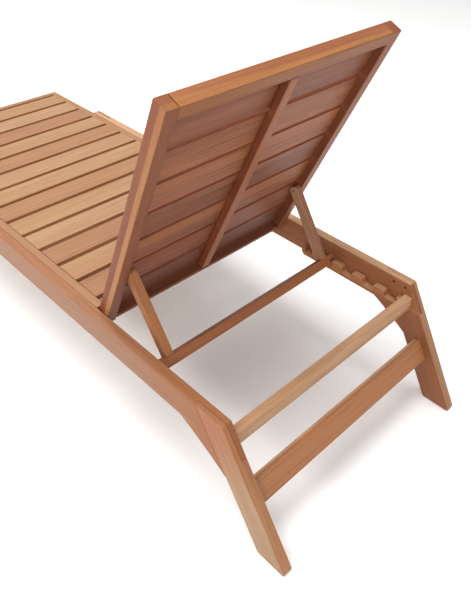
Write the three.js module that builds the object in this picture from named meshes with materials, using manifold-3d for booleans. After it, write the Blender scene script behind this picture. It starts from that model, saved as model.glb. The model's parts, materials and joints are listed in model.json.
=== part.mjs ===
// Reclining sun lounger in oiled hardwood: two side frames, a slatted seat panel, a hinged slatted
// backrest and a folding prop whose bar works along two notched racks.
// Millimetres, +Z up, +Y towards the head end, +X the right-hand side of a person lying on it.
import * as THREE from 'three';
import { mergeVertices } from 'three/addons/utils/BufferGeometryUtils.js';
import Module from 'manifold-3d';

const wasm = await Module();
wasm.setup();
const { Manifold, Mesh: SolidMesh } = wasm;

// Overall
const overallWidth = 700;
const railTop = 332;
const railLength = 1436;

// Fits
const gap = 0.3; // glued and lapped faces
const runningGap = 1.5; // backrest stile to rail
const pinClearance = 0.25; // pin to the hole that turns on it, on the radius
const pinFit = 0.15; // pin to the hole that holds it, on the radius
const pinEndGap = 1;
const tenonLength = 10;
const tenonShoulder = 5;

// Side frames
const railThickness = 27;
const railDepth = 77;
const legSplay = 205; // run of a leg's edge from rail top to floor
const legWidth = 84; // level measure
const footRound = { back: 16, up: 11 };
const toeEase = 3;
const gussetRun = 132; // along the rail's underside, from the rail's end
const gussetDrop = 83; // below the rail's underside
const gussetSag = 8;
const lapScrew = { headRadius: 4, headDepth: 4, sink: 1.5, shankRadius: 2.2, bite: 9 };
const lapScrewDrop = 17.5;
const lapScrewSpots = [48, 12]; // from the rail's end

// Panels
const panelDepth = 35;
const slatThickness = 15;
const slatTongue = { length: 8, thickness: 8, shoulder: 6 };
const battenWidth = 26;

// Seat
const seatOverhang = 274; // past the front of the rails
const seatStileWidth = 22;
const seatRailWidth = 22;
const seatSlatCount = 13;
const seatSlatGap = 14;
const panelEndGap = 2; // seat to the turning end of the backrest

// Backrest
const hingeToRailEnd = 454;
const backAngle = 66.24;
const backAbove = 675; // hinge axis to the top of the panel
const backStileWidth = 30;
const backTopRailWidth = 30;
const backBottomRail = { width: 14, below: 8.7, ease: 4.2 }; // its lower face is below the hinge axis
const backSlatCount = 7;
const backSlatGap = 10;
const backTopGap = 13; // under the highest slat
const hingePin = { radius: 5, inRail: 18, inStile: 22 };

// Prop
const propAlong = 173; // hinge axis to prop pivot, along the panel
const armSlatGap = 2; // folded arm to the slats
const armWidth = 24;
const armThickness = 23;
const armSideGap = 1;
const armTenon = { length: 14, shoulder: 6 };
const barWidth = 26;
const barDepth = 22;
const barEnd = { rise: 2, heel: { along: 10.5, rise: 6.2 }, run: 12 }; // part that passes over the racks
const propPin = { radius: 3.5, inStile: 20 };

// Racks
const rackThickness = 20;
const rackSideGap = 1; // to the full section of the bar
const rackRise = 2; // above the rail's underside
const rackWeb = 11; // wood left under a notch
const notchDepth = 18;
const notchPitch = 72;
const notchCount = 5;
const notchFloorLength = 24;
const humpLength = 26;
const lastStop = 22; // stop face of the last notch, from the rail's end
const rackNose = 39; // past the first notch's stop
const rackEase = { front: 9, rear: 4 };
const restNotch = 3; // the notch in use, counted from the last one
const barStandoff = 13.7; // bar centre to the stop face, level
const barSink = 0.6; // bar centre below the hump tops

// Cross members
const crossThickness = 25;
const crossRise = 1.5; // above the rail's underside
const upperStretcherInset = 15; // rear face past the rail's end
const stretcherDrop = 0.8; // below the flat panel
const lowerStretcher = { thickness: 22, width: 60, height: 151, inset: 22 };
const bearerSpots = [520, 980]; // from the rail's rear end

// Derived
const halfWidth = overallWidth / 2;
const railInner = halfWidth - railThickness;
const railBottom = railTop - railDepth;
const lapPlane = railInner + railThickness / 2;
const panelBottom = railTop - panelDepth;
const lean = Math.atan2(legSplay, railTop);
const hingeY = -hingeToRailEnd;
const hingeDepth = panelDepth / 2;
const hingeZ = railTop - hingeDepth;
const seatFront = -railLength - seatOverhang;
const seatRear = hingeY - hingeDepth - panelEndGap;
const seatOuter = railInner - gap;
const seatSlatEnd = seatOuter - seatStileWidth;
const backOuter = railInner - runningGap;
const backInner = backOuter - backStileWidth;
const armOuter = backInner - armSideGap;
const armInner = armOuter - armThickness;
const rackInner = railInner - gap - rackThickness;
const notchFloor = railBottom + rackRise + rackWeb;
const humpTop = notchFloor + notchDepth;
const rackFront = lastStop + (notchCount - 1) * notchPitch + rackNose;
const propBehind = slatThickness + armSlatGap + armWidth / 2 - hingeDepth; // of the hinge axis
const lift = THREE.MathUtils.degToRad(backAngle);
const propY = hingeY + propAlong * Math.cos(lift) + propBehind * Math.sin(lift);
const propZ = hingeZ + propAlong * Math.sin(lift) - propBehind * Math.cos(lift);
const barY = -lastStop - restNotch * notchPitch - barStandoff;
const barZ = humpTop - barSink;
const propLength = Math.hypot(barY - propY, propZ - barZ);
const propFall = Math.atan2(propZ - barZ, barY - propY);

const wood = (color) => new THREE.MeshStandardMaterial({ color, roughness: 0.62, metalness: 0 });
const railWood = wood(0xb58a6c);
const legWood = wood(0xb17f5f);
const seatSlatWood = wood(0xc49a74);
const backSlatWood = wood(0xa87a5c);
const frameWood = wood(0xb98c67);
const propWood = wood(0xab7148);
const rackWood = wood(0xae7f5e);
const crossWood = wood(0xbd9066);
const steel = new THREE.MeshStandardMaterial({ color: 0x8d8a84, roughness: 0.4, metalness: 1 });

// The frame and the seat share one group; the backrest and the prop are drawn flat in their own
// groups, with their pivot at the group's origin and y along the piece.
const frame = new THREE.Group();
const seat = new THREE.Group();
seat.position.z = railTop;
const backrest = new THREE.Group();
backrest.position.set(0, hingeY, hingeZ);
backrest.rotation.x = lift;
const prop = new THREE.Group();
prop.position.set(0, propY, propZ);
prop.rotation.x = -propFall;
const lounger = new THREE.Group();
lounger.add(frame, seat, backrest, prop);

const SIDES = [
  { side: 1, label: 'right' },
  { side: -1, label: 'left' },
];
const ENDS = [
  { end: 1, label: 'rear' },
  { end: -1, label: 'front' },
];

// Shapes

function solid(geometry) {
  const bare = geometry.index ? geometry.toNonIndexed() : geometry.clone();
  bare.deleteAttribute('normal');
  bare.deleteAttribute('uv');
  const merged = mergeVertices(bare, 1e-4);
  return new Manifold(
    new SolidMesh({
      numProp: 3,
      vertProperties: new Float32Array(merged.attributes.position.array),
      triVerts: new Uint32Array(merged.index.array),
    }),
  );
}

const span = (a, b) => (a < b ? [a, b] : [b, a]);
const across = (side, from, to) => span(side * from, side * to);
const both = (half) => [-half, half];
const joined = (solids) => solids.reduce((a, b) => a.add(b));

function block(x, y, z, matrix = new THREE.Matrix4()) {
  const geometry = new THREE.BoxGeometry(x[1] - x[0], y[1] - y[0], z[1] - z[0]);
  geometry.translate((x[0] + x[1]) / 2, (y[0] + y[1]) / 2, (z[0] + z[1]) / 2);
  return solid(geometry.applyMatrix4(matrix));
}

// A side-view outline of [y, z] points, carried across from x[0] to x[1].
function profile(outline, x) {
  const shape = new THREE.Shape(outline.map(([y, z]) => new THREE.Vector2(y, z)));
  const geometry = new THREE.ExtrudeGeometry(shape, { depth: x[1] - x[0], bevelEnabled: false });
  const upright = new THREE.Matrix4().makeBasis(
    new THREE.Vector3(0, 1, 0),
    new THREE.Vector3(0, 0, 1),
    new THREE.Vector3(1, 0, 0),
  );
  geometry.applyMatrix4(upright);
  geometry.translate(x[0], 0, 0);
  return solid(geometry);
}

function rod(y, z, radius, x, sides = 32) {
  const geometry = new THREE.CylinderGeometry(radius, radius, x[1] - x[0], sides);
  geometry.rotateZ(Math.PI / 2);
  geometry.translate((x[0] + x[1]) / 2, y, z);
  return solid(geometry);
}

function curvePoints(curve, steps) {
  return curve.getPoints(steps).map((point) => [point.x, point.y]);
}

const at = (y, z) => new THREE.Vector2(y, z);

function add(group, name, piece, material) {
  const mesh = piece.getMesh();
  const geometry = new THREE.BufferGeometry();
  geometry.setAttribute('position', new THREE.BufferAttribute(new Float32Array(mesh.vertProperties), 3));
  geometry.setIndex(new THREE.BufferAttribute(new Uint32Array(mesh.triVerts), 1));
  geometry.computeVertexNormals();
  const part = new THREE.Mesh(geometry, material);
  part.name = name;
  group.add(part);
  return part;
}

// Side frames. Both ends are alike: y is measured from the rear end of the rail and mirrored for
// the front one.

const fromEnd = (end, y) => (end > 0 ? y : -railLength - y);
const legOuterEdge = (z) => legSplay * (1 - z / railTop);
const legInnerEdge = (z) => legOuterEdge(z) - legWidth;

function atEnd(end, outline) {
  return end > 0 ? outline : outline.map(([y, z]) => [fromEnd(end, y), z]).reverse();
}

function gussetOutline() {
  const toeZ = railBottom - gussetDrop;
  const start = at(-gussetRun, railBottom);
  const finish = at(legInnerEdge(toeZ), toeZ);
  const middle = start.clone().add(finish).multiplyScalar(0.5);
  middle.y += gussetSag;
  return curvePoints(new THREE.QuadraticBezierCurve(start, middle, finish), 8);
}

// Full thickness up to the leg's inner edge, then the inner half alone behind the leg's cheek.
function railSolid(side) {
  const half = [[-railLength / 2, railBottom], ...gussetOutline()];
  half.push([-legWidth, railTop], [-railLength / 2, railTop]);
  const lap = [
    [legInnerEdge(railBottom) - 1, railBottom],
    [legOuterEdge(railBottom), railBottom],
    [0, railTop],
    [-legWidth - 1, railTop],
  ];
  const full = across(side, railInner, halfWidth);
  const innerHalf = across(side, railInner, lapPlane - gap / 2);
  return joined(
    ENDS.map(({ end }) => profile(atEnd(end, half), full).add(profile(atEnd(end, lap), innerHalf))),
  );
}

function legSolid(side, end) {
  const foot = curvePoints(
    new THREE.QuadraticBezierCurve(
      at(legSplay - footRound.back, 0),
      at(legSplay, 0),
      at(legOuterEdge(footRound.up), footRound.up),
    ),
    6,
  );
  const shoulder = railBottom - gap;
  const overlap = shoulder - tenonShoulder;
  const below = [[legInnerEdge(0) + gap + toeEase, 0], ...foot, [legOuterEdge(shoulder), shoulder]];
  below.push([legInnerEdge(shoulder) + gap, shoulder], [legInnerEdge(toeEase) + gap, toeEase]);
  const cheek = [
    [legInnerEdge(overlap) + gap, overlap],
    [legOuterEdge(overlap), overlap],
    [0, railTop],
    [-legWidth + gap, railTop],
  ];
  const full = profile(atEnd(end, below), across(side, railInner, halfWidth));
  return full.add(profile(atEnd(end, cheek), across(side, lapPlane + gap / 2, halfWidth)));
}

function lapScrewSolid(side, end, spot, clearance = 0) {
  const y = fromEnd(end, -spot);
  const z = railTop - lapScrewDrop;
  const head = railInner + lapScrew.sink;
  const neck = head + lapScrew.headDepth;
  const point = lapPlane + lapScrew.bite + clearance;
  const headRod = rod(y, z, lapScrew.headRadius + clearance, across(side, head, neck), 20);
  return headRod.add(rod(y, z, lapScrew.shankRadius + clearance, across(side, head + 1, point), 16));
}

function lapScrewHoles(side, end) {
  const mouth = across(side, railInner - 1, railInner + lapScrew.sink + 1);
  return joined(
    lapScrewSpots.map((spot) => {
      const radius = lapScrew.headRadius + gap;
      const counterbore = rod(fromEnd(end, -spot), railTop - lapScrewDrop, radius, mouth, 20);
      return lapScrewSolid(side, end, spot, gap).add(counterbore);
    }),
  );
}

// A cross member between the side frames, with stub tenons; its tenon alone, grown by the
// clearance, cuts the mortises.
function crossBeam(y, z, clearance = 0, matrix = new THREE.Matrix4()) {
  const reach = railInner + tenonLength + clearance;
  const inset = tenonShoulder - clearance;
  const tenon = block(both(reach), [y[0] + inset, y[1] - inset], [z[0] + inset, z[1] - inset], matrix);
  return clearance ? tenon : block(both(railInner - gap), y, z, matrix).add(tenon);
}

function upperStretcherSolid(end, clearance = 0) {
  const y = span(fromEnd(end, upperStretcherInset - crossThickness), fromEnd(end, upperStretcherInset));
  return crossBeam(y, [railBottom + crossRise, panelBottom - stretcherDrop], clearance);
}

function seatBearerSolid(spot, clearance = 0) {
  const y = [-spot - crossThickness / 2, -spot + crossThickness / 2];
  return crossBeam(y, [railBottom + crossRise, panelBottom - gap], clearance);
}

function lowerStretcherSolid(end, clearance = 0) {
  const { thickness, width, height, inset } = lowerStretcher;
  const middle = legOuterEdge(height) - (inset + thickness / 2) / Math.cos(lean);
  const matrix = new THREE.Matrix4().makeRotationX(lean * end);
  matrix.setPosition(0, fromEnd(end, middle), height);
  return crossBeam(both(thickness / 2), both(width / 2), clearance, matrix);
}

for (const { side, label } of SIDES) {
  const pinHole = across(side, railInner - 1, railInner + hingePin.inRail);
  let rail = railSolid(side).subtract(rod(hingeY, hingeZ, hingePin.radius + pinFit, pinHole));
  for (const { end, label: where } of ENDS) {
    const screwHoles = lapScrewHoles(side, end);
    rail = rail.subtract(screwHoles).subtract(upperStretcherSolid(end, gap));
    const leg = legSolid(side, end).subtract(screwHoles).subtract(lowerStretcherSolid(end, gap));
    add(frame, `leg_${where}_${label}`, leg, legWood);
    lapScrewSpots.forEach((spot, i) => {
      add(frame, `lap_screw_${where}_${label}_${i + 1}`, lapScrewSolid(side, end, spot), steel);
    });
  }
  bearerSpots.forEach((spot) => {
    rail = rail.subtract(seatBearerSolid(spot, gap));
  });
  add(frame, `side_rail_${label}`, rail, railWood);
}

for (const { end, label } of ENDS) {
  add(frame, `${label}_stretcher_upper`, upperStretcherSolid(end), crossWood);
  add(frame, `${label}_stretcher_lower`, lowerStretcherSolid(end), crossWood);
}
bearerSpots.forEach((spot, i) => {
  add(frame, `seat_bearer_${i + 1}`, seatBearerSolid(spot), crossWood);
});

// Notched racks: each notch has an upright stop on its head side and a flowing slope on the other.

function rackOutline() {
  const floor = railBottom + rackRise;
  const rear = upperStretcherInset - crossThickness - gap;
  const outline = [[rear, floor], [rear, humpTop - rackEase.rear], [rear - rackEase.rear, humpTop]];
  for (let i = 0; i < notchCount; i += 1) {
    const stop = -lastStop - i * notchPitch;
    const foot = stop - notchFloorLength;
    const hump = i < notchCount - 1 ? stop - notchPitch + humpLength : -rackFront + rackEase.front;
    const middle = (foot + hump) / 2;
    const slope = new THREE.CubicBezierCurve(
      at(foot, notchFloor),
      at(middle, notchFloor),
      at(middle, humpTop),
      at(hump, humpTop),
    );
    outline.push([stop, humpTop], [stop, notchFloor], ...curvePoints(slope, 8));
  }
  outline.push([-rackFront, humpTop - rackEase.front], [-rackFront, floor + rackEase.front]);
  return [...outline, [-rackFront + rackEase.front, floor]];
}

for (const { side, label } of SIDES) {
  const rack = profile(rackOutline(), across(side, rackInner, railInner - gap));
  add(frame, `notched_rack_${label}`, rack, rackWood);
}

// Slatted panels, drawn flat: y along the panel, top face at z = 0.

function slatRow(first, last, count, space) {
  const width = (last - first - (count + 1) * space) / count;
  return Array.from({ length: count }, (_, i) => {
    const start = first + space + i * (width + space);
    return [start, start + width];
  });
}

function slatSolid(y, half, clearance = 0) {
  const middle = -slatThickness / 2;
  const grow = slatTongue.thickness / 2 + clearance;
  const inset = slatTongue.shoulder - clearance;
  const tongues = block(
    both(half + slatTongue.length + clearance),
    [y[0] + inset, y[1] - inset],
    [middle - grow, middle + grow],
  );
  return clearance ? tongues : block(both(half - gap), y, [-slatThickness, 0]).add(tongues);
}

function crossRailSolid(y, half, clearance = 0) {
  const inset = slatTongue.shoulder - clearance;
  const tenon = block(
    both(half + slatTongue.length + clearance),
    [y[0] + inset, y[1] - inset],
    [-panelDepth + inset, -inset],
  );
  return clearance ? tenon : block(both(half - gap), y, [-panelDepth, 0]).add(tenon);
}

function battenSolid(y) {
  return block(both(battenWidth / 2), [y[0] + gap, y[1] - gap], [-panelDepth, -slatThickness - gap]);
}

// Seat panel

const seatRails = {
  front: [seatFront, seatFront + seatRailWidth],
  rear: [seatRear - seatRailWidth, seatRear],
};
const seatSlats = slatRow(seatRails.front[1], seatRails.rear[0], seatSlatCount, seatSlatGap);

for (const { side, label } of SIDES) {
  let stile = block(across(side, seatSlatEnd, seatOuter), [seatFront, seatRear], [-panelDepth, 0]);
  seatSlats.forEach((y) => {
    stile = stile.subtract(slatSolid(y, seatSlatEnd, gap));
  });
  Object.values(seatRails).forEach((y) => {
    stile = stile.subtract(crossRailSolid(y, seatSlatEnd, gap));
  });
  add(seat, `seat_stile_${label}`, stile, frameWood);
}
for (const [place, y] of Object.entries(seatRails)) {
  add(seat, `seat_rail_${place}`, crossRailSolid(y, seatSlatEnd), frameWood);
}
seatSlats.forEach((y, i) => {
  add(seat, `seat_slat_${String(i + 1).padStart(2, '0')}`, slatSolid(y, seatSlatEnd), seatSlatWood);
});
add(seat, 'seat_batten', battenSolid([seatRails.front[1], seatRails.rear[0]]), frameWood);

// Backrest

const backPanel = new THREE.Group();
backPanel.position.z = hingeDepth;
backrest.add(backPanel);
const backRails = {
  top: [backAbove - backTopRailWidth, backAbove],
  bottom: [-backBottomRail.below, backBottomRail.width - backBottomRail.below],
};
const backSlats = slatRow(backRails.bottom[1], backRails.top[0], backSlatCount, backSlatGap);
backSlats[backSlatCount - 1][0] += backTopGap - backSlatGap;

// The front corner of the lower end is rounded about the hinge axis, so that it clears the seat.
function backStileOutline() {
  const round = new THREE.EllipseCurve(0, -hingeDepth, hingeDepth, hingeDepth, Math.PI, Math.PI / 2, true);
  const corners = [[backAbove, 0], [backAbove, -panelDepth], [-hingeDepth, -panelDepth]];
  return [...curvePoints(round, 8), ...corners].reverse();
}

function bottomRailOutline() {
  const [from, to] = backRails.bottom;
  const { ease } = backBottomRail;
  return [[from, -panelDepth], [to, -panelDepth], [to, 0], [from + ease, 0], [from, -ease]];
}

for (const { side, label } of SIDES) {
  let stile = profile(backStileOutline(), across(side, backInner, backOuter));
  backSlats.forEach((y) => {
    stile = stile.subtract(slatSolid(y, backInner, gap));
  });
  const hingeHole = across(side, backOuter - hingePin.inStile, backOuter + 1);
  const propHole = across(side, backInner - 1, backInner + propPin.inStile);
  stile = stile
    .subtract(crossRailSolid(backRails.top, backInner, gap))
    .subtract(rod(0, -hingeDepth, hingePin.radius + pinClearance, hingeHole))
    .subtract(rod(propAlong, -hingeDepth - propBehind, propPin.radius + pinFit, propHole));
  add(backPanel, `back_stile_${label}`, stile, frameWood);
  const hingeReach = across(
    side,
    backOuter - hingePin.inStile + pinEndGap,
    railInner + hingePin.inRail - pinEndGap,
  );
  add(frame, `hinge_pin_${label}`, rod(hingeY, hingeZ, hingePin.radius, hingeReach), steel);
}
add(backPanel, 'back_rail_top', crossRailSolid(backRails.top, backInner), frameWood);
add(backPanel, 'back_rail_bottom', profile(bottomRailOutline(), both(backInner - gap)), frameWood);
backSlats.forEach((y, i) => {
  add(backPanel, `back_slat_${i + 1}`, slatSolid(y, backInner), backSlatWood);
});
add(backPanel, 'back_batten', battenSolid([backRails.bottom[1], backRails.top[0]]), frameWood);

// Prop

const barStart = propLength - barWidth / 2;
const armEnd = barStart - gap;

function armOutline() {
  const round = new THREE.EllipseCurve(0, 0, armWidth / 2, armWidth / 2, Math.PI / 2, Math.PI * 1.5);
  return [...curvePoints(round, 12), [armEnd, -armWidth / 2], [armEnd, armWidth / 2]];
}

function armTenonSolid(side, clearance = 0) {
  const inset = armTenon.shoulder - clearance;
  return block(
    across(side, armInner + inset, armOuter - inset),
    [armEnd - 1, armEnd + armTenon.length + clearance],
    both(armWidth / 2 - inset),
  );
}

// Full section between the racks; over the racks only the part that clears the humps.
function barSolid() {
  const top = barDepth / 2;
  const full = block(both(rackInner - rackSideGap), [barStart, barStart + barWidth], both(top));
  const endOutline = [
    [barStart, barEnd.rise],
    [barStart + barEnd.heel.along, barEnd.heel.rise],
    [barStart + barEnd.run, top],
    [barStart, top],
  ];
  const whole = full.add(profile(endOutline, both(railInner - armSideGap)));
  return SIDES.reduce((bar, { side }) => bar.subtract(armTenonSolid(side, gap)), whole);
}

for (const { side, label } of SIDES) {
  const hole = rod(0, 0, propPin.radius + pinClearance, across(side, armInner - 1, armOuter + 1));
  const arm = profile(armOutline(), across(side, armInner, armOuter)).subtract(hole);
  add(prop, `prop_arm_${label}`, arm.add(armTenonSolid(side)), propWood);
  const pin = across(side, armInner + pinEndGap, backInner + propPin.inStile - pinEndGap);
  add(backPanel, `prop_pin_${label}`, rod(propAlong, -hingeDepth - propBehind, propPin.radius, pin), steel);
}
add(prop, 'prop_bar', barSolid(), propWood);

// The origin is on the floor under the middle of the whole.
const model = new THREE.Group();
model.name = 'reclining_sun_lounger';
model.add(lounger);
model.updateMatrixWorld(true);
const bounds = new THREE.Box3().setFromObject(model, true);
lounger.position.set(0, -(bounds.min.y + bounds.max.y) / 2, -bounds.min.z);

export default model;
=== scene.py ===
"""Reclining sun lounger: eased hardwood boards with solid grain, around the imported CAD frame."""

import json
import math
import random

import bmesh
import bpy
from mathutils import Matrix, Vector
from mathutils.bvhtree import BVHTree


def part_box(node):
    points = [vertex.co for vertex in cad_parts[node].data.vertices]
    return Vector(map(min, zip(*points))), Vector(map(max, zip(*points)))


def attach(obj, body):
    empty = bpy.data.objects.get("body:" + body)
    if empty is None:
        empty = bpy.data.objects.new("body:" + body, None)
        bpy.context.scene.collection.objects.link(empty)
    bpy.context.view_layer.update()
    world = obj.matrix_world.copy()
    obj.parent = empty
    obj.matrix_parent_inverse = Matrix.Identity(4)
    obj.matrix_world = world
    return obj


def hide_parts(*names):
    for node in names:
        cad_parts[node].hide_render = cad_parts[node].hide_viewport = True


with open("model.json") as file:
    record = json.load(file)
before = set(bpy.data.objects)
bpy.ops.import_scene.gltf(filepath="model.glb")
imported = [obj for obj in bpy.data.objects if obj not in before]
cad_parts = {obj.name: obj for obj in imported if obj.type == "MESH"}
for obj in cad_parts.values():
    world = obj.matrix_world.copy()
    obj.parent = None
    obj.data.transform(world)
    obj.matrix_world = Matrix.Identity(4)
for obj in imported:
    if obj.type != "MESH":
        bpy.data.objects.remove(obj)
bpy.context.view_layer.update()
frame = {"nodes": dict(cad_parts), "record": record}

# ---------------------------------------------------------------- camera

CAMERA_AT = (0.88517, 1.30677, 1.31748)
CAMERA_YAW = math.radians(134.49)
CAMERA_PITCH = math.radians(40.24)
CAMERA_ROLL = math.radians(1.89)
SENSOR_HEIGHT = 24.0
LENS = 24.488


def make_camera():
    data = bpy.data.cameras.new("camera")
    data.sensor_fit = "VERTICAL"
    data.sensor_height = SENSOR_HEIGHT
    data.lens = LENS
    camera = bpy.data.objects.new("camera", data)
    bpy.context.scene.collection.objects.link(camera)
    camera.matrix_world = (
        Matrix.Translation(CAMERA_AT)
        @ Matrix.Rotation(CAMERA_YAW, 4, "Z")
        @ Matrix.Rotation(math.pi / 2 - CAMERA_PITCH, 4, "X")
        @ Matrix.Rotation(CAMERA_ROLL, 4, "Z")
    )
    bpy.context.scene.camera = camera


# ---------------------------------------------------------------- the directions of the boards

BACK_ANGLE = math.radians(66.24)
PROP_ANGLE = math.radians(-56.265)
LEG_RUN = 205  # how far a leg's foot stands out past its top, in mm
LEG_HEIGHT = 332
LEG_LEAN = math.atan2(LEG_RUN, LEG_HEIGHT)

X, Y, Z = Vector((1, 0, 0)), Vector((0, 1, 0)), Vector((0, 0, 1))


def tilted(angle):
    """The level direction +Y and the upright one, both turned by angle about +X."""
    return (
        Vector((0, math.cos(angle), math.sin(angle))),
        Vector((0, -math.sin(angle), math.cos(angle))),
    )


def board_axes(node):
    """(grain, width, thickness) directions of a board, as a right-handed frame."""
    along_back, off_back = tilted(BACK_ANGLE)
    along_prop, off_prop = tilted(PROP_ANGLE)
    lean = LEG_LEAN if "rear" in node else -LEG_LEAN
    if node.startswith("leg_"):
        along, aside = tilted(math.pi / 2 + lean)
        return along, aside, X
    if node.startswith(("side_rail", "notched_rack")):
        return Y, Z, X
    if node.startswith(("seat_stile", "seat_batten")):
        return Y, -X, Z
    if node.startswith("back_stile") or node == "back_batten":
        return along_back, -X, off_back
    if node.startswith("back_"):
        return X, along_back, off_back
    if node.startswith("prop_arm"):
        return along_prop, -X, off_prop
    if node == "prop_bar":
        return X, along_prop, off_prop
    if node.endswith("stretcher_lower"):
        level, upright = tilted(lean)
        return X, level, upright
    return X, Y, Z


# ---------------------------------------------------------------- shapes

SMALLEST_STEP = 1e-5
RAY_START = 4e-5  # a ray starts this far off its face
FLAT = math.radians(1.0)  # faces closer to one plane than this are joined
CORNER = math.radians(38)  # edges sharper than this are eased
SMOOTH_BELOW = math.radians(50)
EASE_SEGMENTS = 3

# Kinds of boards that have holes across them, and the pieces in those holes.
HOLES = {
    "side_rail": ("hinge_pin", "lap_screw"),
    "back_stile": ("hinge_pin", "prop_pin"),
    "prop_arm": ("prop_pin",),
}


def ease_edges(bm, width, through):
    """Rounds the arrises. Rims of mortises and bores stay sharp, as a wall there faces another.

    through eases every arris: a rack's notches have facing walls and are open."""
    shut = set()
    if not through:
        tree = BVHTree.FromBMesh(bm)
        for face in bm.faces:
            start = face.calc_center_median() + face.normal * RAY_START
            if tree.ray_cast(start, face.normal)[0] is not None:
                shut.add(face)
    edges = [
        edge
        for edge in bm.edges
        if len(edge.link_faces) == 2
        and edge.is_convex
        and edge.calc_face_angle(0) > CORNER
        and not (set(edge.link_faces) & shut)
    ]
    bmesh.ops.bevel(
        bm,
        geom=edges,
        offset=width,
        offset_type="OFFSET",
        segments=EASE_SEGMENTS,
        profile=0.5,
        affect="EDGES",
        clamp_overlap=True,
    )


def hole_middles(node):
    """Points at which a board's faces are divided: the middle of each hole across the board."""
    kind, side = node.rsplit("_", 1)
    if kind not in HOLES:
        return []
    holes = [n for n in frame["nodes"] if n.startswith(HOLES[kind]) and side in n]
    if kind == "side_rail":
        holes += [
            n
            for n in frame["nodes"]
            if n.startswith("seat_bearer") or n.endswith("stretcher_upper")
        ]
    return [(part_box(n)[0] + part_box(n)[1]) / 2 for n in holes]


def divide(bm, point, direction):
    """Cuts the faces at a plane, with seams along the cut, so that no face bends around a hole."""
    parts = bm.verts[:] + bm.edges[:] + bm.faces[:]
    cut = bmesh.ops.bisect_plane(
        bm, geom=parts, dist=SMALLEST_STEP, plane_co=point, plane_no=direction
    )
    for part in cut["geom_cut"]:
        if isinstance(part, bmesh.types.BMEdge):
            part.seam = True


def board(node, body, ease, material):
    """A finished board in place of a CAD node: its own shape, eased, with its origin amid it."""
    bm = bmesh.new()
    bm.from_mesh(frame["nodes"][node].data)
    bmesh.ops.remove_doubles(bm, verts=bm.verts, dist=SMALLEST_STEP)
    grain = board_axes(node)[0]
    for point in hole_middles(node):
        divide(bm, point, grain)
    bmesh.ops.dissolve_limit(
        bm, angle_limit=FLAT, verts=bm.verts, edges=bm.edges, delimit={"SEAM"}
    )
    bmesh.ops.recalc_face_normals(bm, faces=bm.faces)
    low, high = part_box(node)
    place = Matrix.Translation((low + high) / 2)
    bm.transform(place.inverted())
    bm.normal_update()
    ease_edges(bm, ease, through=node.startswith("notched_rack"))
    bm.normal_update()
    for face in bm.faces:
        face.smooth = True
    for edge in bm.edges:
        if len(edge.link_faces) == 2:
            edge.smooth = edge.calc_face_angle(0) < SMOOTH_BELOW
    mesh = bpy.data.meshes.new(node + "_board")
    bm.to_mesh(mesh)
    bm.free()
    mesh.materials.append(material)
    piece = bpy.data.objects.new(node + "_board", mesh)
    bpy.context.scene.collection.objects.link(piece)
    piece.matrix_world = place
    weighted = piece.modifiers.new("weighted_normals", "WEIGHTED_NORMAL")
    weighted.keep_sharp = True
    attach(piece, body)
    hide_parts(node)
    return piece


# ---------------------------------------------------------------- materials


def shaded(colour, amount):
    """A colour made darker by a factor."""
    return tuple(c * amount for c in colour)


class Nodes:
    """Short calls for building one material's nodes."""

    def __init__(self, name):
        self.material = bpy.data.materials.new(name)
        self.material.use_nodes = True
        self.tree = self.material.node_tree
        self.tree.nodes.clear()

    def put(self, kind, inputs=None, **settings):
        node = self.tree.nodes.new(kind)
        for key, value in settings.items():
            setattr(node, key, value)
        for key, value in (inputs or {}).items():
            if isinstance(value, bpy.types.NodeSocket):
                self.tree.links.new(value, node.inputs[key])
            else:
                node.inputs[key].default_value = value
        return node

    def math(self, operation, a, b=0.0):
        return self.put("ShaderNodeMath", {0: a, 1: b}, operation=operation).outputs[0]

    def vector(self, operation, a, b=(0, 0, 0)):
        node = self.put("ShaderNodeVectorMath", {0: a, 1: b}, operation=operation)
        return node.outputs["Value" if operation in ("LENGTH", "DOT_PRODUCT") else "Vector"]

    def along(self, vector):
        """A vector's part along the grain, in a board's own axes."""
        return self.put("ShaderNodeSeparateXYZ", {0: vector}).outputs[0]

    def turned(self, vector, axes):
        """A vector told in a board's own axes."""
        parts = [self.vector("DOT_PRODUCT", vector, tuple(axis)) for axis in axes]
        return self.put("ShaderNodeCombineXYZ", dict(enumerate(parts))).outputs[0]

    def noise(self, vector, scale, detail, roughness, distortion=0.0):
        inputs = {
            "Vector": self.vector("MULTIPLY", vector, scale),
            "Scale": 1.0,
            "Detail": detail,
            "Roughness": roughness,
            "Distortion": distortion,
        }
        return self.put("ShaderNodeTexNoise", inputs).outputs["Fac"]

    def ramp(self, value, low, high):
        """0 below low, 1 above high, smooth between."""
        node = self.put(
            "ShaderNodeMapRange",
            {"Value": value, "From Min": low, "From Max": high},
            interpolation_type="SMOOTHSTEP",
            clamp=True,
        )
        return node.outputs["Result"]

    def mix(self, factor, a, b):
        node = self.put("ShaderNodeMix", {"Factor": factor}, data_type="RGBA")
        for socket, value in ((node.inputs[6], a), (node.inputs[7], b)):
            if isinstance(value, bpy.types.NodeSocket):
                self.tree.links.new(value, socket)
            else:
                socket.default_value = (*value, 1)
        return node.outputs[2]

    def bump(self, height, strength, distance):
        inputs = {"Height": height, "Strength": strength, "Distance": distance}
        return self.put("ShaderNodeBump", inputs).outputs[0]

    def principled(self, **inputs):
        """The material with a principled surface. An input's name has _ for each space."""
        named = {key.replace("_", " "): value for key, value in inputs.items()}
        shader = self.put("ShaderNodeBsdfPrincipled", named)
        output = self.put("ShaderNodeOutputMaterial")
        self.tree.links.new(shader.outputs[0], output.inputs[0])
        return self.material


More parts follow.
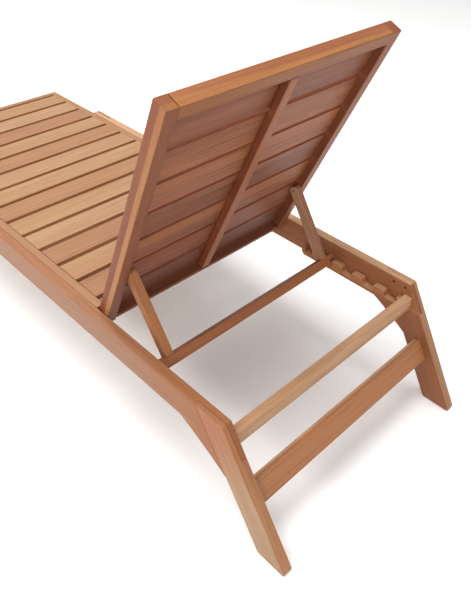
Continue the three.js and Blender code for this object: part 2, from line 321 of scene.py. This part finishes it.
# Noise in wood: scale along the grain, scale across it, detail, roughness, distortion.
WOOD_NOISE = {
    "wander": (1.3, 9, 2.0, 0.50, 0.0),
    "uneven": (0.5, 60, 2.0, 0.60, 0.0),
    "fibre": (7, 420, 4.0, 0.60, 0.0),
    "band": (0.9, 22, 3.0, 0.55, 0.6),
    "smear": (1.6, 110, 3.0, 0.60, 0.0),
    "line": (0.7, 230, 2.0, 0.50, 0.0),
    "pore": (55, 1500, 1.0, 0.50, 0.0),
    "knot": (14, 60, 2.0, 0.50, 0.0),
}

# Dark marks along the grain, in the order they are laid on: noise, low and high end of its ramp,
# amount, factor on the streak colour, and whether the board's contrast scales the amount.
MARKS = (
    ("smear", 0.55, 0.78, 0.50, 1.00, True),
    ("line", 0.60, 0.74, 0.38, 0.70, True),
    ("fibre", 0.42, 0.72, 0.26, 1.00, False),
    ("pore", 0.62, 0.70, 0.30, 0.35, False),
    ("knot", 0.80, 0.86, 0.65, 0.25, False),
)

NOISE_SHIFT = 3.0  # how far a board's noise may be moved, so that no two boards agree
PITH_NEAR, PITH_FAR = 0.05, 0.11  # from a board's middle to the middle of its log
RING_WIDTH = 0.0032
RING_SWAY = 0.022
RING_LEAN = 0.022
RING_UNEVEN = 1.8  # in rings
LATE_RISE = (0.25, 0.86)  # where in a ring the late wood comes up, and where it ends
LATE_FALL = (0.9, 1.0)
LATE_AMOUNT = 0.26
LATE_TINT = 0.62
TONE_RAMP = (0.30, 0.70)
TONE_AMOUNT = 0.75
BAND_WANDER = 0.012
BAND_TONE = 0.5
FACE_RAMP = (0.45, 0.85)
FACE_TONE = 0.6
FACE_DARK = 0.72
END_RAMP = (0.72, 0.92)
END_RINGS = 0.55
END_DARK = 0.80
END_STREAK = 0.62
WOOD_ROUGHNESS = 0.38
FIBRE_ROUGHNESS = 0.20
END_ROUGHNESS = 0.18
FIBRE_RELIEF = 0.7
LATE_RELIEF = -0.35
PORE_RELIEF = 0.8
PORE_RELIEF_RAMP = (0.6, 0.72)
WOOD_BUMP = 0.35
WOOD_BUMP_DEPTH = 0.0004
WOOD_SPECULAR = 0.32


def late_wood(n, draw, local, noise):
    """The dark part of the growth rings, about a pith line outside the board."""
    turn = draw.uniform(0, 2 * math.pi)
    away = draw.uniform(PITH_NEAR, PITH_FAR)
    slope = draw.uniform(-RING_LEAN, RING_LEAN)
    pith = (0.0, away * math.cos(turn), away * math.sin(turn))
    sway = n.math("MULTIPLY", n.math("SUBTRACT", noise["wander"], 0.5), RING_SWAY)
    across = n.vector("MULTIPLY", n.vector("SUBTRACT", local, pith), (0.0, 1, 1))
    lean = n.math("MULTIPLY", n.along(local), slope)
    radius = n.math("ADD", n.math("ADD", n.vector("LENGTH", across), sway), lean)
    uneven = n.math("MULTIPLY", noise["uneven"], RING_UNEVEN)
    phase = n.math("ADD", n.math("DIVIDE", radius, RING_WIDTH), uneven)
    saw = n.math("FRACT", phase)
    fall = n.math("SUBTRACT", 1.0, n.ramp(saw, *LATE_FALL))
    return n.math("MULTIPLY", n.ramp(saw, *LATE_RISE), fall)


def wood(name, axes, light, dark, streak, seed, contrast=1.0, end_grain=0.62, bands=(), faces=()):
    """Oiled hardwood cut from one log: the rings run through the board, so faces and ends agree.

    axes are the board's grain, width and thickness directions. Colours are linear.
    bands are (direction, offset, colour, softness): the other tone of a board whose sapwood or
    glue line runs along it; on the right side rail it is a painted shadow of the backrest instead.
    faces are (direction, colour, amount): the colour of the faces that look that way. On some
    boards it is a face cut another way; on others it is painted light: painted shade and sheen on
    the backrest's rear and inner faces and a leg's rear face, painted shade on slats' edges, and
    painted highlights on tops."""
    draw = random.Random(seed)
    n = Nodes(name)
    coord = n.put("ShaderNodeTexCoord")
    local = n.turned(coord.outputs["Object"], axes)
    normal = n.turned(coord.outputs["Normal"], axes)
    shift = tuple(draw.uniform(-NOISE_SHIFT, NOISE_SHIFT) for _ in range(3))
    place = n.vector("ADD", local, shift)
    noise = {
        key: n.noise(place, (lengthwise, crosswise, crosswise), detail, roughness, distortion)
        for key, (lengthwise, crosswise, detail, roughness, distortion) in WOOD_NOISE.items()
    }
    late = late_wood(n, draw, local, noise)

    tone = n.math("MULTIPLY", n.ramp(noise["band"], *TONE_RAMP), TONE_AMOUNT * contrast)
    colour = n.mix(tone, light, dark)
    wander = n.math("MULTIPLY", n.math("SUBTRACT", noise["wander"], 0.5), BAND_WANDER)
    # a band along a board; on the right side rail it is a painted shadow of the backrest
    for direction, offset, other, soft in bands:
        side = n.math("ADD", n.vector("DOT_PRODUCT", local, direction), wander)
        other = n.mix(n.math("MULTIPLY", tone, BAND_TONE), other, dark)
        colour = n.mix(n.ramp(side, offset - soft, offset + soft), colour, other)
    # faces that look one way take another colour; on several boards this is painted shade, sheen
    # and highlight
    for direction, other, amount in faces:
        facing = n.ramp(n.vector("DOT_PRODUCT", normal, direction), *FACE_RAMP)
        shade = n.mix(n.math("MULTIPLY", tone, FACE_TONE), other, shaded(other, FACE_DARK))
        colour = n.mix(n.math("MULTIPLY", facing, amount), colour, shade)
    tint = n.mix(LATE_TINT, colour, streak)
    colour = n.mix(n.math("MULTIPLY", late, LATE_AMOUNT * contrast), colour, tint)
    for key, low, high, amount, shade, scaled in MARKS:
        amount *= contrast if scaled else 1
        mark = n.math("MULTIPLY", n.ramp(noise[key], low, high), amount)
        colour = n.mix(mark, colour, shaded(streak, shade))

    # end grain is darker, rougher and shows its rings more
    end = n.ramp(n.math("ABSOLUTE", n.along(normal)), *END_RAMP)
    rings = n.math("MULTIPLY", late, END_RINGS)
    ring_end = n.mix(rings, shaded(dark, END_DARK), shaded(streak, END_STREAK))
    colour = n.mix(n.math("MULTIPLY", end, end_grain), colour, ring_end)

    rough = n.math("ADD", WOOD_ROUGHNESS, n.math("MULTIPLY", noise["fibre"], FIBRE_ROUGHNESS))
    rough = n.math("ADD", rough, n.math("MULTIPLY", end, END_ROUGHNESS))
    fibres = n.math("MULTIPLY", noise["fibre"], FIBRE_RELIEF)
    height = n.math("ADD", fibres, n.math("MULTIPLY", late, LATE_RELIEF))
    pores = n.math("MULTIPLY", n.ramp(noise["pore"], *PORE_RELIEF_RAMP), PORE_RELIEF)
    height = n.math("SUBTRACT", height, pores)
    return n.principled(
        Base_Color=colour,
        Roughness=rough,
        Normal=n.bump(height, WOOD_BUMP, WOOD_BUMP_DEPTH),
        Specular_IOR_Level=WOOD_SPECULAR,
    )


PIN_COLOURS = (0.32, 0.30, 0.27), (0.20, 0.18, 0.155)
SCREW_COLOURS = (0.10, 0.075, 0.06), (0.05, 0.035, 0.028)
STAIN_SCALE = (260, 260, 260)
STAIN_RAMP = (0.35, 0.7)
METAL_ROUGHNESS = 0.36
STAIN_ROUGHNESS = 0.25
METAL_BUMP = 0.2
METAL_BUMP_DEPTH = 0.0001


def metal(name, light, dark):
    """Dull steel with a faint stained texture."""
    n = Nodes(name)
    coord = n.put("ShaderNodeTexCoord").outputs["Object"]
    stain = n.noise(coord, STAIN_SCALE, detail=4.0, roughness=0.6)
    return n.principled(
        Base_Color=n.mix(n.ramp(stain, *STAIN_RAMP), light, dark),
        Roughness=n.math("ADD", METAL_ROUGHNESS, n.math("MULTIPLY", stain, STAIN_ROUGHNESS)),
        Metallic=1.0,
        Normal=n.bump(stain, METAL_BUMP, METAL_BUMP_DEPTH),
    )


# ---------------------------------------------------------------- the boards


def linear(red, green, blue):
    """A linear colour from the usual 0 to 255 values."""
    return tuple(
        v / 12.92 if v <= 0.04045 else ((v + 0.055) / 1.055) ** 2.4
        for v in (red / 255, green / 255, blue / 255)
    )


HONEY = linear(161, 128, 91)
STRAW = linear(165, 133, 99)
TAN = linear(156, 115, 80)
ROSE = linear(146, 104, 74)
PALE = linear(196, 154, 118)
AMBER = linear(160, 106, 54)
ORANGE = linear(150, 92, 50)
WARM = linear(166, 108, 66)
RUSSET = linear(132, 68, 38)
RED = linear(112, 48, 8)
SLAT = linear(158, 96, 60)
MAUVE = linear(142, 86, 62)
BROWN = linear(124, 70, 42)
EARTH = linear(92, 44, 26)
STREAK = linear(102, 52, 28)
DEEP = linear(70, 33, 19)

# slot: (light, dark, streak, how far the arrises are eased)
SLOT_STYLES = {
    "rail_wood": (TAN, ROSE, STREAK, 0.0020),
    "leg_wood": (STRAW, TAN, STREAK, 0.0022),
    "seat_slat_wood": (HONEY, TAN, STREAK, 0.0012),
    "back_slat_wood": (SLAT, BROWN, DEEP, 0.0012),
    "frame_wood": (TAN, ROSE, STREAK, 0.0026),
    "prop_wood": (WARM, BROWN, STREAK, 0.0022),
    "rack_wood": (ROSE, TAN, STREAK, 0.0012),
    "stretcher_wood": (HONEY, TAN, STREAK, 0.0025),
}

# Directions in a board's own axes: x along the grain, y its width, z its thickness.
ALONG, UP, DOWN, OVER, UNDER = (1, 0, 0), (0, 1, 0), (0, -1, 0), (0, 0, 1), (0, 0, -1)
REARWARD = (0.02, 0, -1)  # towards the rear of the backrest's top rail, a little askew
LEG_TOP = (0.85, -0.53, 0)  # the level top face of a rear leg

# Boards whose tones differ from their slot's. Several of these tones are painted light and shade,
# as each says.
TONES = {
    "back_stile_right": dict(
        light=AMBER,
        dark=ORANGE,
        bands=[(OVER, 0.001, RED, 0.0015)],
        # painted shade and sheen: the rear face gets the darker brown it shows facing down and
        # back
        faces=[(UNDER, BROWN, 0.95)],
    ),
    "back_stile_left": dict(
        light=ORANGE,
        dark=RUSSET,
        # painted sheen on the rear face (MAUVE) and painted shade on the inner side beside the
        # slats (EARTH)
        faces=[(UNDER, MAUVE, 0.7), (DOWN, EARTH, 0.7)],
    ),
    "back_rail_top": dict(
        light=ORANGE,
        dark=RUSSET,
        bands=[(REARWARD, 0.002, AMBER, 0.003)],
        # painted shade and sheen on the rear face, as on the stiles
        faces=[(UNDER, BROWN, 0.6)],
    ),
    "back_rail_bottom": dict(light=BROWN, dark=EARTH),
    # painted shade: the batten is dark all round for its shaded sides between the slats; its paler
    # rear face is painted sheen
    "back_batten": dict(light=RUSSET, dark=EARTH, faces=[(UNDER, SLAT, 0.85)]),
    "side_rail_left": dict(
        light=WARM,
        dark=RUSSET,
        contrast=1.3,
        # the top face (UP) is painted paler: painted light that lifts the backrest's shadow on it
        faces=[(OVER, WARM, 0.7), (UP, PALE, 0.95)],
    ),
    "side_rail_right": dict(
        light=ROSE,
        dark=ORANGE,
        # the rear part is painted orange: a painted shadow and reflection of the backrest on the
        # rail
        bands=[(ALONG, 0.50, ORANGE, 0.16)],
        faces=[(UP, ROSE, 0.3)],
    ),
    "leg_rear_left": dict(
        light=TAN,
        dark=ORANGE,
        end_grain=0.25,
        # the top face is painted pale: painted light on the leg's top; the redder inner face is
        # the wood's own
        faces=[(OVER, RUSSET, 0.6), (LEG_TOP, PALE, 0.8)],
    ),
    "leg_rear_right": dict(
        light=STRAW,
        dark=TAN,
        bands=[(ALONG, 0.06, SLAT, 0.10)],
        # the rear face is painted darker and redder: painted shade on the face turned away from
        # the light
        faces=[(DOWN, WARM, 0.7)],
    ),
    # the up-facing faces are painted pale: painted highlights on the tops of the humps
    "notched_rack_left": dict(light=WARM, dark=SLAT, faces=[(UP, PALE, 0.7)]),
    "rear_stretcher_upper": dict(light=PALE, dark=TAN),
    "rear_stretcher_lower": dict(light=PALE, dark=TAN, bands=[(UP, 0.002, WARM, 0.003)]),
    "prop_bar": dict(light=WARM, dark=RUSSET, faces=[(DOWN, SLAT, 0.5)]),
    "prop_arm_left": dict(light=PALE, dark=BROWN),
}

# (light, dark) of the backrest's slats from the top one down.
BACK_SLAT_TONES = (
    (MAUVE, BROWN),
    (SLAT, BROWN),
    (SLAT, MAUVE),
    (MAUVE, BROWN),
    (SLAT, BROWN),
    (MAUVE, RUSSET),
    (BROWN, EARTH),
)
BACK_SLAT_CONTRAST = 1.3
# The light tone of the seat's slats, in the order of their numbers.
SEAT_SLAT_TONES = (
    *(HONEY, STRAW, ROSE, HONEY, TAN, STRAW, HONEY),
    *(TAN, HONEY, STRAW, ROSE, HONEY, ROSE),
)
SLAT_GAP_SHADE = 0.8  # how strongly a slat's long edges take the painted shade of the gaps between slats


# Painted shade: a slat's long edges are painted a darker colour, standing for the shade in the
# gaps between slats.
def slat_gap_shade(colour):
    return [(UP, colour, SLAT_GAP_SHADE), (DOWN, colour, SLAT_GAP_SHADE)]


def tones_of(node):
    """What a board's tones say beyond its slot's style."""
    kind, number = node.rsplit("_", 1)
    if kind == "back_slat":
        light, dark = BACK_SLAT_TONES[-int(number)]
        edges = slat_gap_shade(RUSSET)
        return dict(light=light, dark=dark, contrast=BACK_SLAT_CONTRAST, faces=edges)
    if kind == "seat_slat":
        light = SEAT_SLAT_TONES[int(number) - 1]
        return dict(light=light, dark=ROSE if light == TAN else TAN, faces=slat_gap_shade(WARM))
    return TONES.get(node, {})


FIRST_SEED = 1000


def build_boards():
    record = frame["record"]
    slots = {s["node"]: s["material_slot"] for s in record["subparts"]}
    body_of = {n: b for b, nodes in record["behaviour"]["bodies"].items() for n in nodes}
    pins = metal("pin_steel", *PIN_COLOURS)
    screws = metal("screw_steel", *SCREW_COLOURS)
    for index, node in enumerate(sorted(frame["nodes"])):
        slot = slots[node]
        if slot == "steel":
            frame["nodes"][node].data.materials.clear()
            steel = screws if node.startswith("lap_screw") else pins
            frame["nodes"][node].data.materials.append(steel)
            continue
        light, dark, streak, ease = SLOT_STYLES[slot]
        style = {"light": light, "dark": dark, "streak": streak, **tones_of(node)}
        material = wood("wood_" + node, board_axes(node), seed=FIRST_SEED + index, **style)
        piece = board(node, body_of[node], ease, material)


# ---------------------------------------------------------------- stage and light

FLOOR_SIZE = 60
FLOOR_COLOURS = (0.90, 0.90, 0.90), (0.92, 0.92, 0.915)
FLOOR_CLOUD_SCALE = (0.6, 0.6, 0.6)
FLOOR_ROUGHNESS = 0.9
FLOOR_SPECULAR = 0.1

WORLD_COLOUR = (1.0, 0.99, 0.985, 1)
WORLD_STRENGTH = 0.70
WHITE = (1, 1, 1)

# name, place, target, diameter, power, colour
LIGHTS = (
    ("top", (0.4, -0.6, 4.2), (0, 0, 0.2), 3.4, 180, WHITE),
    ("key", (2.4, -3.2, 2.3), (0, 0.2, 0.4), 0.5, 72, (1.0, 0.985, 0.96)),
    ("fill", (2.8, 2.6, 2.2), (0, 0, 0.4), 2.5, 52, WHITE),
)


def make_floor():
    bpy.ops.mesh.primitive_plane_add(size=FLOOR_SIZE, location=(0, 0, 0))
    floor = bpy.context.object
    floor.name = "floor"
    n = Nodes("floor")
    coord = n.put("ShaderNodeTexCoord").outputs["Object"]
    cloud = n.noise(coord, FLOOR_CLOUD_SCALE, detail=3.0, roughness=0.5)
    material = n.principled(
        Base_Color=n.mix(cloud, *FLOOR_COLOURS),
        Roughness=FLOOR_ROUGHNESS,
        Specular_IOR_Level=FLOOR_SPECULAR,
    )
    floor.data.materials.append(material)


def area_light(name, place, target, diameter, power, colour):
    data = bpy.data.lights.new(name, "AREA")
    data.shape = "DISK"
    data.size = diameter
    data.energy = power
    data.color = colour
    lamp = bpy.data.objects.new(name, data)
    bpy.context.scene.collection.objects.link(lamp)
    lamp.location = place
    lamp.rotation_euler = (Vector(target) - Vector(place)).to_track_quat("-Z", "Y").to_euler()


def make_light():
    world = bpy.data.worlds.new("studio")
    bpy.context.scene.world = world
    world.use_nodes = True
    nodes = world.node_tree.nodes
    background = nodes.get("Background") or nodes.new("ShaderNodeBackground")
    background.inputs["Color"].default_value = WORLD_COLOUR
    background.inputs["Strength"].default_value = WORLD_STRENGTH
    for light in LIGHTS:
        area_light(*light)


make_camera()
build_boards()
make_floor()
make_light()
bpy.context.scene.view_settings.view_transform = "Standard"

bpy.context.view_layer.update()
